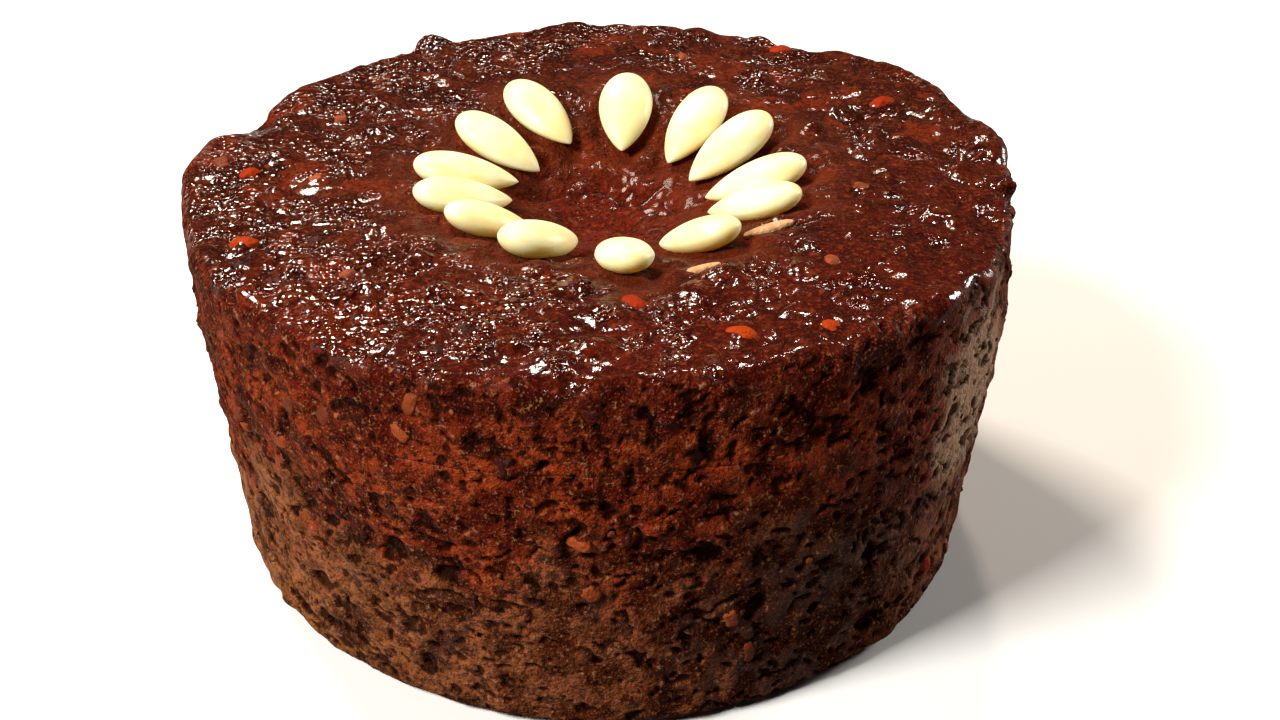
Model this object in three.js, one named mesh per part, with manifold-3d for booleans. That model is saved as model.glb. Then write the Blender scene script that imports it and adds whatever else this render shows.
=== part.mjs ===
// A round, dark, uncut fruit cake, baked in a deep tin, with thirteen blanched almonds pressed in a ring
// into the hollow of its top. Millimetres, +Z up, origin at the middle of the base that it stands on.
import * as THREE from "three";
import { mergeVertices } from "three/addons/utils/BufferGeometryUtils.js";
import Module from "manifold-3d";

// The cake's body: upright under its top edge, then narrowing to the base as its tin does.
const TOP_RADIUS = 90;
const BASE_RADIUS = 83.5;
const HEIGHT = 86; // of the top edge above the base
const UPRIGHT_FROM = 62; // above this height the side is upright
const TOP_EDGE_ROUND = 3.5;
const BASE_EDGE_ROUND = 4.5;
const CROWN = 1.5; // how much the middle would stand above the edge if it hadn't sunk

// The hollow where the middle sank, a little off the axis.
const HOLLOW = { x: 2, y: -3, radius: 52, depth: 15 };

// Fruit and nuts under the crust, as rounded lumps. Those of the top and the side are laid out evenly and
// then nudged by up to half of nudge, in millimetres on the top and in shares of their spacing on the side.
const TOP_LUMPS = { count: 170, within: 87, nudge: 6, radius: [3.5, 7.5], height: [0.4, 1.9], seed: 41 };
const SIDE_LUMPS = { rows: 11, around: 46, nudge: 0.9, radius: [3, 5.5], height: [0.2, 1], seed: 97 };
const EDGE_LUMPS = [
  // On the top edge, each at an angle round the cake. One with a negative height is a dent.
  { angle: -13, radius: 34, height: -1.4 },
  { angle: -4, radius: 5, height: 2 },
  { angle: 10, radius: 16, height: 2.2 },
  { angle: 33, radius: 32, height: 2.6 },
  { angle: 48, radius: 9, height: 1.4 },
  { angle: 96, radius: 12, height: 0.7 },
  { angle: 119, radius: 7, height: 2.8 },
  { angle: 159, radius: 17, height: -3.6 },
  { angle: 178, radius: 34, height: 1.6 },
  { angle: 205, radius: 8, height: 1 },
  { angle: 318, radius: 9, height: 1 },
];
const SWELLS = [
  // Long waves round the cake: how many go round, how high they are, where they start.
  { around: 3, height: 0.5, start: 1.0 },
  { around: 5, height: 0.35, start: 2.7 },
  { around: 8, height: 0.25, start: 5.0 },
];
const SWELL_SLANT = 1 / 25; // how far round each wave shifts, in radians for each millimetre along the skin
const SWELLS_FULL_FROM = 60; // on the top they fade out inside this radius

// Almonds: where each lies in the ring (degrees round the hollow, distance of its middle from the hollow's
// middle), how far it is turned from pointing straight at the middle, how much more steeply than the slope
// it leans, and how long it is.
const ALMONDS = [
  { at: 84, out: 34.5, turn: 1, lean: 4, long: 24 },
  { at: 116, out: 36.5, turn: 13, lean: 1, long: 23.5 },
  { at: 142, out: 32, turn: 5, lean: 0, long: 23.5 },
  { at: 172.5, out: 32, turn: 14, lean: -7, long: 23.5 },
  { at: 194.5, out: 32.5, turn: 13, lean: -4, long: 23.5 },
  { at: 216.5, out: 31.5, turn: -2, lean: 4, long: 22.5 },
  { at: 243, out: 31.5, turn: -7, lean: 1, long: 25 },
  { at: 272.5, out: 38.5, turn: 15, lean: 0, long: 21.5 },
  { at: 303, out: 32, turn: 15, lean: 6, long: 22.5 },
  { at: 338, out: 32.5, turn: -3, lean: 1, long: 22.5 },
  { at: 359.5, out: 31.5, turn: 0, lean: 0, long: 23.5 },
  { at: 31.5, out: 31.5, turn: 1, lean: 5, long: 24.5 },
  { at: 55, out: 33.5, turn: -1, lean: 8, long: 23.5 },
];
const ALMOND_WIDTH_SHARE = 0.51; // of its length
const ALMOND_THICKNESS_SHARE = 0.31;
const ALMOND_SINK = 0.9; // how deep its underside is pressed in
const ALMOND_BLUNT = 0.5; // roundness of the outer end
const ALMOND_POINT = 0.78; // sharpness of the tip
const SOCKET_GAP = 0.35;

// The mesh of the cake: six more points on each ring of the top, then even rows down the side.
const TOP_RINGS = 22;
const EDGE_ROWS = 4;
const SIDE_ROWS = 15;
const BASE_EDGE_ROWS = 3;
const ALMOND_ROWS = 9;
const ALMOND_SIDES = 12;

const GOLDEN_ANGLE = Math.PI * (3 - Math.sqrt(5));

// Even draws between 0 and 1, the same on every run.
function draws(seed) {
  let state = seed >>> 0;
  return () => {
    state = (Math.imul(state, 1664525) + 1013904223) >>> 0;
    return state / 4294967296;
  };
}

const between = ([low, high], share) => low + (high - low) * share;
const smooth = (t) => t * t * (3 - 2 * t);
const wrapped = (angle) => Math.atan2(Math.sin(angle), Math.cos(angle));

// Lumps laid over the top in a sunflower spiral, each nudged off its place.
function scatterTopLumps() {
  const { count, within, nudge, radius, height, seed } = TOP_LUMPS;
  const draw = draws(seed);
  return Array.from({ length: count }, (_, k) => {
    const out = within * Math.sqrt((k + 0.5) / count);
    return {
      x: out * Math.cos(k * GOLDEN_ANGLE) + (draw() - 0.5) * nudge,
      y: out * Math.sin(k * GOLDEN_ANGLE) + (draw() - 0.5) * nudge,
      radius: between(radius, draw()),
      height: between(height, draw() ** 2),
    };
  });
}

// Lumps laid over the side in staggered rows, each nudged off its place.
function scatterSideLumps() {
  const { rows, around, nudge, radius, height, seed } = SIDE_LUMPS;
  const draw = draws(seed);
  return Array.from({ length: rows * around }, (_, k) => {
    const row = Math.floor(k / around);
    return {
      angle: ((k % around) + row / 2 + (draw() - 0.5) * nudge) * ((2 * Math.PI) / around),
      z: (row + 0.5 + (draw() - 0.5) * nudge) * (HEIGHT / rows),
      radius: between(radius, draw()),
      height: between(height, draw() ** 2),
    };
  });
}

// A lump's height at a distance from its middle: full at the middle, level where it ends.
function lumpAt(lump, distanceSquared) {
  const share = distanceSquared / lump.radius ** 2;
  return share < 1 ? lump.height * (1 - share) ** 2 : 0;
}

const topLumps = scatterTopLumps();
const sideLumps = scatterSideLumps();

// Edge lumps sit on the top edge and swell or dent both faces that meet there.
function edgeRelief(angle, along) {
  return EDGE_LUMPS.reduce((sum, lump) => {
    const across = wrapped(angle - THREE.MathUtils.degToRad(lump.angle)) * TOP_RADIUS;
    return sum + lumpAt(lump, across ** 2 + along ** 2);
  }, 0);
}

function topRelief(x, y) {
  const angle = Math.atan2(y, x);
  const out = Math.hypot(x, y);
  const waves = SWELLS.reduce((sum, { around, height, start }) => {
    const fade = smooth(Math.min(out / SWELLS_FULL_FROM, 1));
    return sum + height * fade * Math.sin(around * angle + start + out * SWELL_SLANT);
  }, 0);
  const lumps = topLumps.reduce((sum, lump) => sum + lumpAt(lump, (x - lump.x) ** 2 + (y - lump.y) ** 2), 0);
  return waves + lumps + edgeRelief(angle, TOP_RADIUS - out);
}

function sideRelief(angle, z) {
  const waves = SWELLS.reduce(
    (sum, { around, height, start }) => sum + height * Math.sin(around * angle - start + z * SWELL_SLANT),
    0,
  );
  const lumps = sideLumps.reduce((sum, lump) => {
    const across = wrapped(angle - lump.angle) * TOP_RADIUS;
    return sum + lumpAt(lump, across ** 2 + (z - lump.z) ** 2);
  }, 0);
  return waves + lumps + edgeRelief(angle, HEIGHT - z);
}

// How far the top has sunk at a place.
function hollowDepth(x, y) {
  const share = Math.min(Math.hypot(x - HOLLOW.x, y - HOLLOW.y) / HOLLOW.radius, 1);
  return HOLLOW.depth * (1 - smooth(share));
}

function plainTopHeight(x, y) {
  return HEIGHT + CROWN * (1 - (x * x + y * y) / TOP_RADIUS ** 2) - hollowDepth(x, y);
}

// The side's radius at a height, without relief: upright, then narrowing evenly.
function sideRadiusAt(z) {
  return TOP_RADIUS - (TOP_RADIUS - BASE_RADIUS) * Math.max(0, (UPRIGHT_FROM - z) / UPRIGHT_FROM);
}

// A point on the cake's skin: out from the axis and up, moved along the skin's own direction by the relief.
// lean is 0 where the skin faces up and 90 degrees where it faces sideways.
function skinPoint(angle, out, z, lean, reliefShare = 1) {
  const x = out * Math.cos(angle);
  const y = out * Math.sin(angle);
  const up = Math.cos(lean) * topRelief(x, y);
  const sideways = Math.sin(lean) * sideRelief(angle, z);
  const grown = out + Math.sin(lean) * (sideways + up) * reliefShare;
  return [
    grown * Math.cos(angle),
    grown * Math.sin(angle),
    z + Math.cos(lean) * (sideways + up) * reliefShare,
  ];
}

// The cake before the almonds are pressed in: a closed skin of rings from the middle of the top, over the
// edge, down the side and under to the flat base.
function cakeGeometry() {
  const around = 6 * TOP_RINGS;
  const flatRadius = TOP_RADIUS - TOP_EDGE_ROUND;
  const points = [];
  const rings = [];

  const addRing = (count, pointAt) => {
    rings.push({ first: points.length, count });
    for (let k = 0; k < count; k += 1) points.push(pointAt((k / count) * 2 * Math.PI));
  };

  addRing(1, () => skinPoint(0, 0, plainTopHeight(0, 0), 0));
  for (let ring = 1; ring <= TOP_RINGS; ring += 1) {
    const out = (flatRadius * ring) / TOP_RINGS;
    addRing(6 * ring, (angle) => {
      const z = plainTopHeight(out * Math.cos(angle), out * Math.sin(angle));
      return skinPoint(angle, out, z, 0);
    });
  }
  const edgeMiddle = HEIGHT - TOP_EDGE_ROUND;
  for (let row = 1; row <= EDGE_ROWS; row += 1) {
    const lean = (row / EDGE_ROWS) * (Math.PI / 2);
    const out = flatRadius + TOP_EDGE_ROUND * Math.sin(lean);
    addRing(around, (angle) => skinPoint(angle, out, edgeMiddle + TOP_EDGE_ROUND * Math.cos(lean), lean));
  }
  for (let row = 1; row <= SIDE_ROWS; row += 1) {
    const z = edgeMiddle - ((edgeMiddle - BASE_EDGE_ROUND) * row) / SIDE_ROWS;
    addRing(around, (angle) => skinPoint(angle, sideRadiusAt(z), z, Math.PI / 2));
  }
  const baseRing = sideRadiusAt(BASE_EDGE_ROUND) - BASE_EDGE_ROUND;
  for (let row = 1; row <= BASE_EDGE_ROWS; row += 1) {
    const turned = (row / BASE_EDGE_ROWS) * (Math.PI / 2);
    const z = BASE_EDGE_ROUND * (1 - Math.sin(turned));
    const out = baseRing + BASE_EDGE_ROUND * Math.cos(turned);
    const reliefShare = Math.cos(turned); // the base itself is flat
    addRing(around, (angle) => {
      const [x, y] = skinPoint(angle, out, z, Math.PI / 2, reliefShare);
      return [x, y, z];
    });
  }
  addRing(1, () => [0, 0, 0]);

  return closedGeometry(points, stitchRings(rings));
}

// Triangles between each ring and the next, walking both round together.
function stitchRings(rings) {
  const faces = [];
  for (let r = 1; r < rings.length; r += 1) {
    const upper = rings[r - 1];
    const lower = rings[r];
    let a = 0;
    let b = 0;
    const upperEnd = upper.count > 1 ? upper.count : 0;
    const lowerEnd = lower.count > 1 ? lower.count : 0;
    while (a < upperEnd || b < lowerEnd) {
      const takeLower = a >= upperEnd || (b < lowerEnd && (b + 0.5) * upper.count <= (a + 0.5) * lower.count);
      const here = upper.first + (a % upper.count);
      const there = lower.first + (b % lower.count);
      if (takeLower) {
        b += 1;
        faces.push(here, there, lower.first + (b % lower.count));
      } else {
        a += 1;
        faces.push(here, there, upper.first + (a % upper.count));
      }
    }
  }
  return faces;
}

function closedGeometry(points, faces) {
  return new THREE.BufferGeometry()
    .setAttribute("position", new THREE.Float32BufferAttribute(points.flat(), 3))
    .setIndex(faces);
}

// A blanched almond along X, blunt at +X and pointed at -X. Its half width at each station is a round end
// times a pointed end, scaled so that the widest station is 1.
function almondGeometry(long, wide, thick) {
  const widestAt = ALMOND_BLUNT / (ALMOND_BLUNT + ALMOND_POINT);
  const station = (share) => share ** ALMOND_BLUNT * (1 - share) ** ALMOND_POINT;
  const points = [[long / 2, 0, 0]];
  const rings = [{ first: 0, count: 1 }];
  for (let row = 1; row < ALMOND_ROWS; row += 1) {
    const share = (1 - Math.cos((row / ALMOND_ROWS) * Math.PI)) / 2;
    const size = station(share) / station(widestAt);
    rings.push({ first: points.length, count: ALMOND_SIDES });
    for (let k = 0; k < ALMOND_SIDES; k += 1) {
      const angle = (k / ALMOND_SIDES) * 2 * Math.PI;
      points.push([
        long * (0.5 - share),
        (wide / 2) * size * Math.cos(angle),
        (thick / 2) * size * Math.sin(angle),
      ]);
    }
  }
  rings.push({ first: points.length, count: 1 });
  points.push([-long / 2, 0, 0]);
  return closedGeometry(points, stitchRings(rings));
}

// One almond lying on the slope of the hollow, its tip towards the middle, and the same shape grown by the
// gap for its socket.
function placeAlmond({ at, out, turn, lean, long }, name) {
  const wide = long * ALMOND_WIDTH_SHARE;
  const thick = long * ALMOND_THICKNESS_SHARE;
  const bearing = THREE.MathUtils.degToRad(at);
  const x = HOLLOW.x + out * Math.cos(bearing);
  const y = HOLLOW.y + out * Math.sin(bearing);
  const reach = long / 4;
  const heightAt = (offset) =>
    plainTopHeight(x + offset * Math.cos(bearing), y + offset * Math.sin(bearing));
  const slope = Math.atan2(heightAt(reach) - heightAt(-reach), 2 * reach);

  const seat = new THREE.Group();
  seat.position.set(x, y, heightAt(0) + thick / 2 - ALMOND_SINK);
  seat.rotation.z = bearing + THREE.MathUtils.degToRad(turn);
  const almond = new THREE.Mesh(almondGeometry(long, wide, thick), almondMaterial);
  almond.name = name;
  almond.rotation.y = -(slope + THREE.MathUtils.degToRad(lean));
  seat.add(almond);

  seat.updateMatrixWorld(true);
  const grow = 2 * SOCKET_GAP;
  const socket = almondGeometry(long + grow, wide + grow, thick + grow).applyMatrix4(almond.matrixWorld);
  return { seat, socket };
}

const wasm = await Module();
wasm.setup();

function solidOf(geometry) {
  const merged = mergeVertices(geometry, 1e-4);
  return new wasm.Manifold(
    new wasm.Mesh({
      numProp: 3,
      vertProperties: merged.attributes.position.array,
      triVerts: new Uint32Array(merged.index.array),
    }),
  );
}

function geometryOf(solid) {
  const { vertProperties, triVerts } = solid.getMesh();
  return new THREE.BufferGeometry()
    .setAttribute("position", new THREE.BufferAttribute(vertProperties, 3))
    .setIndex(new THREE.BufferAttribute(triVerts, 1));
}

const crustMaterial = new THREE.MeshStandardMaterial({ color: 0x4a1c0e, roughness: 0.55, metalness: 0 });
const almondMaterial = new THREE.MeshStandardMaterial({ color: 0xf3e8b8, roughness: 0.45, metalness: 0 });

const fruitCake = new THREE.Group();
const placed = ALMONDS.map((almond, k) => placeAlmond(almond, `almond_${String(k + 1).padStart(2, "0")}`));
placed.forEach(({ seat }) => fruitCake.add(seat));

const pressed = placed.reduce((body, { socket }) => body.subtract(solidOf(socket)), solidOf(cakeGeometry()));
const cake = new THREE.Mesh(geometryOf(pressed), crustMaterial);
cake.name = "cake";
fruitCake.add(cake);

export default fruitCake;
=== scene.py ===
"""A round, dark, uncut fruit cake: a baked crumb side, a wet glazed top that sank in the middle, fruit
and nuts showing in the crust, and thirteen blanched almonds pressed in a ring. Metres, +Z up."""
from math import atan, cos, pi, radians, sin, sqrt

import bpy
import numpy as np
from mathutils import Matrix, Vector


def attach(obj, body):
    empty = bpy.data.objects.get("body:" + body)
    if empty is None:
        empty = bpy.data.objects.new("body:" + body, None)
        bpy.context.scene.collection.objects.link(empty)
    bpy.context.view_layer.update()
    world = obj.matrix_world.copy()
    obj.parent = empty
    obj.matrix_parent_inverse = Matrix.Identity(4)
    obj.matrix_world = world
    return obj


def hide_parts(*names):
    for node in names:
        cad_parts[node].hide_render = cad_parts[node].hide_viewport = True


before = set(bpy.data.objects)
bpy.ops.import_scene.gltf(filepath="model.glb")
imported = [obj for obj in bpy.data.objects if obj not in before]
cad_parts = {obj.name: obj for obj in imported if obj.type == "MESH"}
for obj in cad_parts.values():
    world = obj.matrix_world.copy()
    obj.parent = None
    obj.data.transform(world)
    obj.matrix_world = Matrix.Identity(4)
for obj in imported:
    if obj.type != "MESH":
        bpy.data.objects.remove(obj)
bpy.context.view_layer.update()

# ---- The form of the crust ----------------------------------------------------------------------
# The cake was baked in a deep tin that narrows to its base, and its middle sank as it cooled. Fruit and
# nuts under the crust lift it in rounded lumps, as in the solid that the crust pieces below stand for.

TOP_RADIUS = 0.090
BASE_RADIUS = 0.0835
HEIGHT = 0.086
UPRIGHT_FROM = 0.062  # above this height the side is upright
TOP_EDGE_ROUND = 0.0035
BASE_EDGE_ROUND = 0.0045
CROWN = 0.0015
HOLLOW = {"x": 0.002, "y": -0.003, "radius": 0.052, "depth": 0.015}
TOP_LUMPS = {"count": 170, "within": 0.087, "nudge": 0.006, "radius": (0.0035, 0.0075),
             "height": (0.0004, 0.0019), "seed": 41}
SIDE_LUMPS = {"rows": 11, "around": 46, "nudge": 0.9, "radius": (0.003, 0.0055),
              "height": (0.0002, 0.001), "seed": 97}
EDGE_LUMPS = [  # angle in degrees, radius, height; a negative height is a dent
    (-13, 0.034, -0.0014), (-4, 0.005, 0.002), (10, 0.016, 0.0022), (33, 0.032, 0.0026), (48, 0.009, 0.0014),
    (96, 0.012, 0.0007), (119, 0.007, 0.0028), (159, 0.017, -0.0036), (178, 0.034, 0.0016),
    (205, 0.008, 0.001), (318, 0.009, 0.001),
]
SWELLS = [(3, 0.0005, 1.0), (5, 0.00035, 2.7), (8, 0.00025, 5.0)]  # how many round the cake, height, start
SWELL_SLANT = 40.0  # how far round each wave shifts, in radians for each metre along the skin
SWELLS_FULL_FROM = 0.060
GOLDEN_ANGLE = pi * (3 - sqrt(5))

FLAT_RADIUS = TOP_RADIUS - TOP_EDGE_ROUND
EDGE_RUN = TOP_EDGE_ROUND * pi / 2
SIDE_RUN = HEIGHT - TOP_EDGE_ROUND - BASE_EDGE_ROUND
BASE_RUN = BASE_EDGE_ROUND * pi / 2
SIDE_FROM = FLAT_RADIUS + EDGE_RUN
BASE_FROM = SIDE_FROM + SIDE_RUN


def draws(seed):
    """Even draws between 0 and 1, the same on every run: each state is the last one times a large factor
    plus a step, modulo 2**32."""
    state = seed
    while True:
        state = (state * 1664525 + 1013904223) % 2**32
        yield state / 2**32


def between(low_high, share):
    return low_high[0] + (low_high[1] - low_high[0]) * share


def smooth(share):
    """A soft step from 0 to 1: 3t2 - 2t3."""
    share = np.clip(share, 0, 1)
    return share * share * (3 - 2 * share)


def wrapped(angle):
    return (angle + pi) % (2 * pi) - pi


def top_lumps():
    """Lumps in a sunflower spiral, each nudged off its place: rows of x, y, radius, height."""
    draw = draws(TOP_LUMPS["seed"])
    for k in range(TOP_LUMPS["count"]):
        out = TOP_LUMPS["within"] * sqrt((k + 0.5) / TOP_LUMPS["count"])
        yield (out * cos(k * GOLDEN_ANGLE) + (next(draw) - 0.5) * TOP_LUMPS["nudge"],
               out * sin(k * GOLDEN_ANGLE) + (next(draw) - 0.5) * TOP_LUMPS["nudge"],
               between(TOP_LUMPS["radius"], next(draw)), between(TOP_LUMPS["height"], next(draw) ** 2))


def side_lumps():
    """Lumps in staggered rows, each nudged off its place: rows of angle, z, radius, height."""
    draw = draws(SIDE_LUMPS["seed"])
    rows, around, nudge = SIDE_LUMPS["rows"], SIDE_LUMPS["around"], SIDE_LUMPS["nudge"]
    for k in range(rows * around):
        row = k // around
        yield ((k % around + row / 2 + (next(draw) - 0.5) * nudge) * 2 * pi / around,
               (row + 0.5 + (next(draw) - 0.5) * nudge) * HEIGHT / rows,
               between(SIDE_LUMPS["radius"], next(draw)), between(SIDE_LUMPS["height"], next(draw) ** 2))


def add_lumps(total, along, middles, across_of):
    """Adds each lump to total: height (1 - d2/r2)2 within its radius, where d2 = across2 + along2."""
    for place, middle, radius, height in middles:
        near = np.abs(along - middle) < radius
        apart = across_of(place, near) ** 2 + (along[near] - middle) ** 2
        total[near] += height * np.clip(1 - apart / radius**2, 0, 1) ** 2


def edge_relief(angle, along):
    """Lumps that sit on the top edge and swell both faces that meet there."""
    total = np.zeros(angle.shape)
    middles = [(radians(degrees), 0, radius, height) for degrees, radius, height in EDGE_LUMPS]
    add_lumps(total, along, middles, lambda place, near: wrapped(angle[near] - place) * TOP_RADIUS)
    return total


def top_relief(x, y):
    """Waves round the cake that fade out towards its middle, plus the top's lumps."""
    angle, out = np.arctan2(y, x), np.hypot(x, y)
    total = edge_relief(angle, TOP_RADIUS - out)
    for around, height, start in SWELLS:
        total += height * smooth(out / SWELLS_FULL_FROM) * np.sin(around * angle + start + out * SWELL_SLANT)
    add_lumps(total, y, top_lumps(), lambda place, near: x[near] - place)
    return total


def side_relief(angle, z):
    """Waves round the cake plus the side's lumps."""
    total = edge_relief(angle, HEIGHT - z)
    for around, height, start in SWELLS:
        total += height * np.sin(around * angle - start + z * SWELL_SLANT)
    add_lumps(total, z, side_lumps(), lambda place, near: wrapped(angle[near] - place) * TOP_RADIUS)
    return total


def plain_skin(angle, along):
    """The skin without relief, followed from the middle of the top: over the rounded edge, down the side,
    round the base edge and inwards under the base. Gives points, the directions in which relief lifts
    them, and how much of the relief each takes, which is none on the flat base."""
    turn = np.clip((along - FLAT_RADIUS) / EDGE_RUN, 0, 1) * pi / 2
    under = np.clip((along - BASE_FROM) / BASE_RUN, 0, 1) * pi / 2
    height = HEIGHT - TOP_EDGE_ROUND - np.clip(along - SIDE_FROM, 0, SIDE_RUN)
    narrowing = (TOP_RADIUS - BASE_RADIUS) * np.clip(1 - height / UPRIGHT_FROM, 0, None)
    inwards = np.clip(along - BASE_FROM - BASE_RUN, 0, None)
    out = (np.minimum(along, FLAT_RADIUS) + TOP_EDGE_ROUND * np.sin(turn) - narrowing
           - BASE_EDGE_ROUND * (1 - np.cos(under)) - inwards)
    x, y = out * np.cos(angle), out * np.sin(angle)
    from_hollow = np.hypot(x - HOLLOW["x"], y - HOLLOW["y"]) / HOLLOW["radius"]
    dome = CROWN * np.clip(1 - (along / FLAT_RADIUS) ** 2, 0, None)
    hollow = HOLLOW["depth"] * (1 - smooth(from_hollow))
    z = (height + TOP_EDGE_ROUND * np.cos(turn) - BASE_EDGE_ROUND * np.sin(under)
         + (dome - hollow) * (along < FLAT_RADIUS))
    lifts = np.stack([np.sin(turn) * np.cos(angle), np.sin(turn) * np.sin(angle), np.cos(turn)], -1)
    return np.stack([x, y, z], -1), lifts, np.cos(under) * (inwards <= 0)


# Finer than the solid's relief: creases between the fruit under the glaze, granules, and the pits and
# cavities of the open crumb. All of it is a function of the place on the plain skin, so it has no seams.

HASH_FACTORS = np.array([73856093, 19349663, 83492791], np.uint32)
SEED_FACTOR = 2654435761
HASH_ROUNDS = ((16, 0x7FEB352D), (15, 0x846CA68B))  # shift and factor


def cell_draw(cells, seed):
    """A steady draw between 0 and 1 for each whole-numbered cell: its three numbers are multiplied, mixed
    by exclusive-or, and scrambled by shifts and products modulo 2**32."""
    mixed = cells.astype(np.int64).astype(np.uint32) * HASH_FACTORS
    state = mixed[..., 0] ^ mixed[..., 1] ^ mixed[..., 2] ^ np.uint32(seed * SEED_FACTOR % 2**32)
    for shift, factor in HASH_ROUNDS:
        state = (state ^ (state >> np.uint32(shift))) * np.uint32(factor)
    return (state ^ (state >> np.uint32(16))) / 2**32


def cloud(points, size, seed):
    """Smooth noise between -1 and 1: the draws at the eight corners of the point's cell, blended by soft
    steps of the point's place in it."""
    places = points / size
    cells = np.floor(places)
    part = smooth(places - cells)
    total = np.zeros(points.shape[:-1])
    for corner in np.ndindex(2, 2, 2):
        weight = np.prod(np.where(corner, part, 1 - part), axis=-1)
        total += weight * cell_draw(cells + corner, seed)
    return 2 * total - 1


def bent(points, size, seed):
    """Three clouds, one for each axis, that push points to and fro."""
    return np.stack([cloud(points, size, seed + axis) for axis in range(3)], -1)


def cell_middles(places, reach, seed):
    """For each neighbouring cell of each place: its whole numbers and its middle, nudged within reach."""
    cells = np.floor(places)
    for step in np.ndindex(3, 3, 3):
        cell = cells + np.array(step) - 1
        nudges = np.stack([cell_draw(cell, seed + axis) for axis in range(3)], -1)
        yield cell, cell + 0.5 + (nudges - 0.5) * reach


PIT_REACH, COBBLE_REACH = 0.9, 0.95  # over how much of its cell a middle may lie


def pits(points, spacing, radius, share, seed):
    """Round pits, one in each chosen cell: 1 - d2/r2 within a pit's radius, and 0 between the pits.
    share is how many cells have one, and may differ from place to place."""
    places = points / spacing
    deepest = np.zeros(points.shape[:-1])
    for cell, middle in cell_middles(places, PIT_REACH, seed):
        size = between(radius, cell_draw(cell, seed + 3)) / spacing
        apart = ((places - middle) ** 2).sum(-1) / size**2
        depth = np.where(cell_draw(cell, seed + 4) < share, 1 - apart, 0)
        deepest = np.maximum(deepest, depth)
    return deepest


def cobbles(points, spacing, seed):
    """Which cell each point lies in, as a draw, and how far it is from the crease between that cell's
    middle and the next nearest."""
    places = points / spacing
    nearest = np.full(points.shape[:-1], np.inf)
    second = nearest.copy()
    kind = nearest.copy()
    for cell, middle in cell_middles(places, COBBLE_REACH, seed):
        apart = np.sqrt(((places - middle) ** 2).sum(-1))
        first = apart < nearest
        second = np.where(first, nearest, np.minimum(second, apart))
        kind = np.where(first, cell_draw(cell, seed + 5), kind)
        nearest = np.where(first, apart, nearest)
    return kind, (second - nearest) * spacing


def almond_axes(node):
    """Middle, half sizes and directions of an almond in the frame: the principal axes of its mesh, with
    the long one turned away from the hollow's middle, where the tip points."""
    corners = np.unique(np.round([v.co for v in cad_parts[node].data.vertices], 6), axis=0)
    spread = corners - corners.mean(0)
    axes = np.linalg.eigh(spread.T @ spread)[1][:, ::-1].T
    axes[0] *= np.sign(axes[0] @ (corners.mean(0) - (HOLLOW["x"], HOLLOW["y"], HEIGHT)))
    axes[2] *= np.sign(axes[2][2])
    axes[1] = np.cross(axes[2], axes[0])
    reach = corners @ axes.T
    middle = (reach.max(0) + reach.min(0)) / 2
    return middle @ axes, (reach.max(0) - reach.min(0)) / 2, axes


def bell(values, middle, width):
    """A bell curve, 1 at its middle: e to the power of minus the square of (values - middle) / width."""
    return np.exp(-(((values - middle) / width) ** 2))


ALMOND_NODES = sorted(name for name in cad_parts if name.startswith("almond_"))
ALMONDS = {node: almond_axes(node) for node in ALMOND_NODES}
ALMOND_DENT, ALMOND_LIP = 0.0009, 0.0002
DENT_AT, DENT_WIDTH = 1, 0.2  # these and the next are in the almond's own half sizes
LIP_AT, LIP_WIDTH = 1.5, 0.3
NEAR_WITHIN, NEAR_WIDTH = 1.1, 0.6


def almond_dents(points):
    """How the top gives way round each almond: a groove at its outline and a low lip just outside it, and
    how near each point is to an almond. The distance counts the almond's own half sizes as 1."""
    lifted, near = np.zeros(points.shape[:-1]), np.zeros(points.shape[:-1])
    for middle, half, axes in ALMONDS.values():
        steps = (points - middle) @ axes[:2].T / half[:2]
        apart = np.hypot(steps[..., 0], steps[..., 1])
        near = np.maximum(near, bell(np.clip(apart - NEAR_WITHIN, 0, None), 0, NEAR_WIDTH))
        lifted += ALMOND_LIP * bell(apart, LIP_AT, LIP_WIDTH)
        lifted -= ALMOND_DENT * bell(apart, DENT_AT, DENT_WIDTH)
    return lifted, near


# Where fruit shows: on some of the lumps, chosen by draws, and at a few places of its own.

FRUIT_SHARES = {"raisins": 0.17, "candied_peel": 0.03, "cherries": 0.012}
FRUIT_SEED = 7
TOP_FRUIT = [  # kind, x and y in mm
    ("cherries", 5.7, -59.5), ("cherries", 45.5, 70.6), ("candied_peel", 45.2, -46.4),
    ("candied_peel", -50, -48), ("cherries", 42.7, -70), ("raisins", -64, -49.5), ("raisins", -26, -68.6),
    ("raisins", -47, -65), ("raisins", -31, -75),
]
SIDE_FRUIT = [  # kind, degrees from +X towards +Y, height in mm
    ("candied_peel", -113.1, 78.6), ("candied_peel", -125.8, 70.3), ("candied_peel", -114.6, 72),
    ("raisins", -79.4, 67.9), ("raisins", -87.6, 51.4), ("raisins", -91.1, 79.7), ("raisins", -126, 46),
    ("raisins", -123.7, 44), ("raisins", -81.9, 45.5),
]
ALMOND_RING = (0.014, 0.046)  # from the hollow's middle; no fruit is chosen under the almonds
FRUIT_HEIGHTS = (0.006, 0.080)
BED_RADIUS, BED_WIDTH, BED_DEPTH = 0.0026, 0.0012, 0.0003  # of the ring where crust and fruit meet
BEDS_APART = 3 * BED_RADIUS


def side_along(z):
    """The distance along the skin of a height on the side."""
    return SIDE_FROM + HEIGHT - TOP_EDGE_ROUND - z


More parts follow.
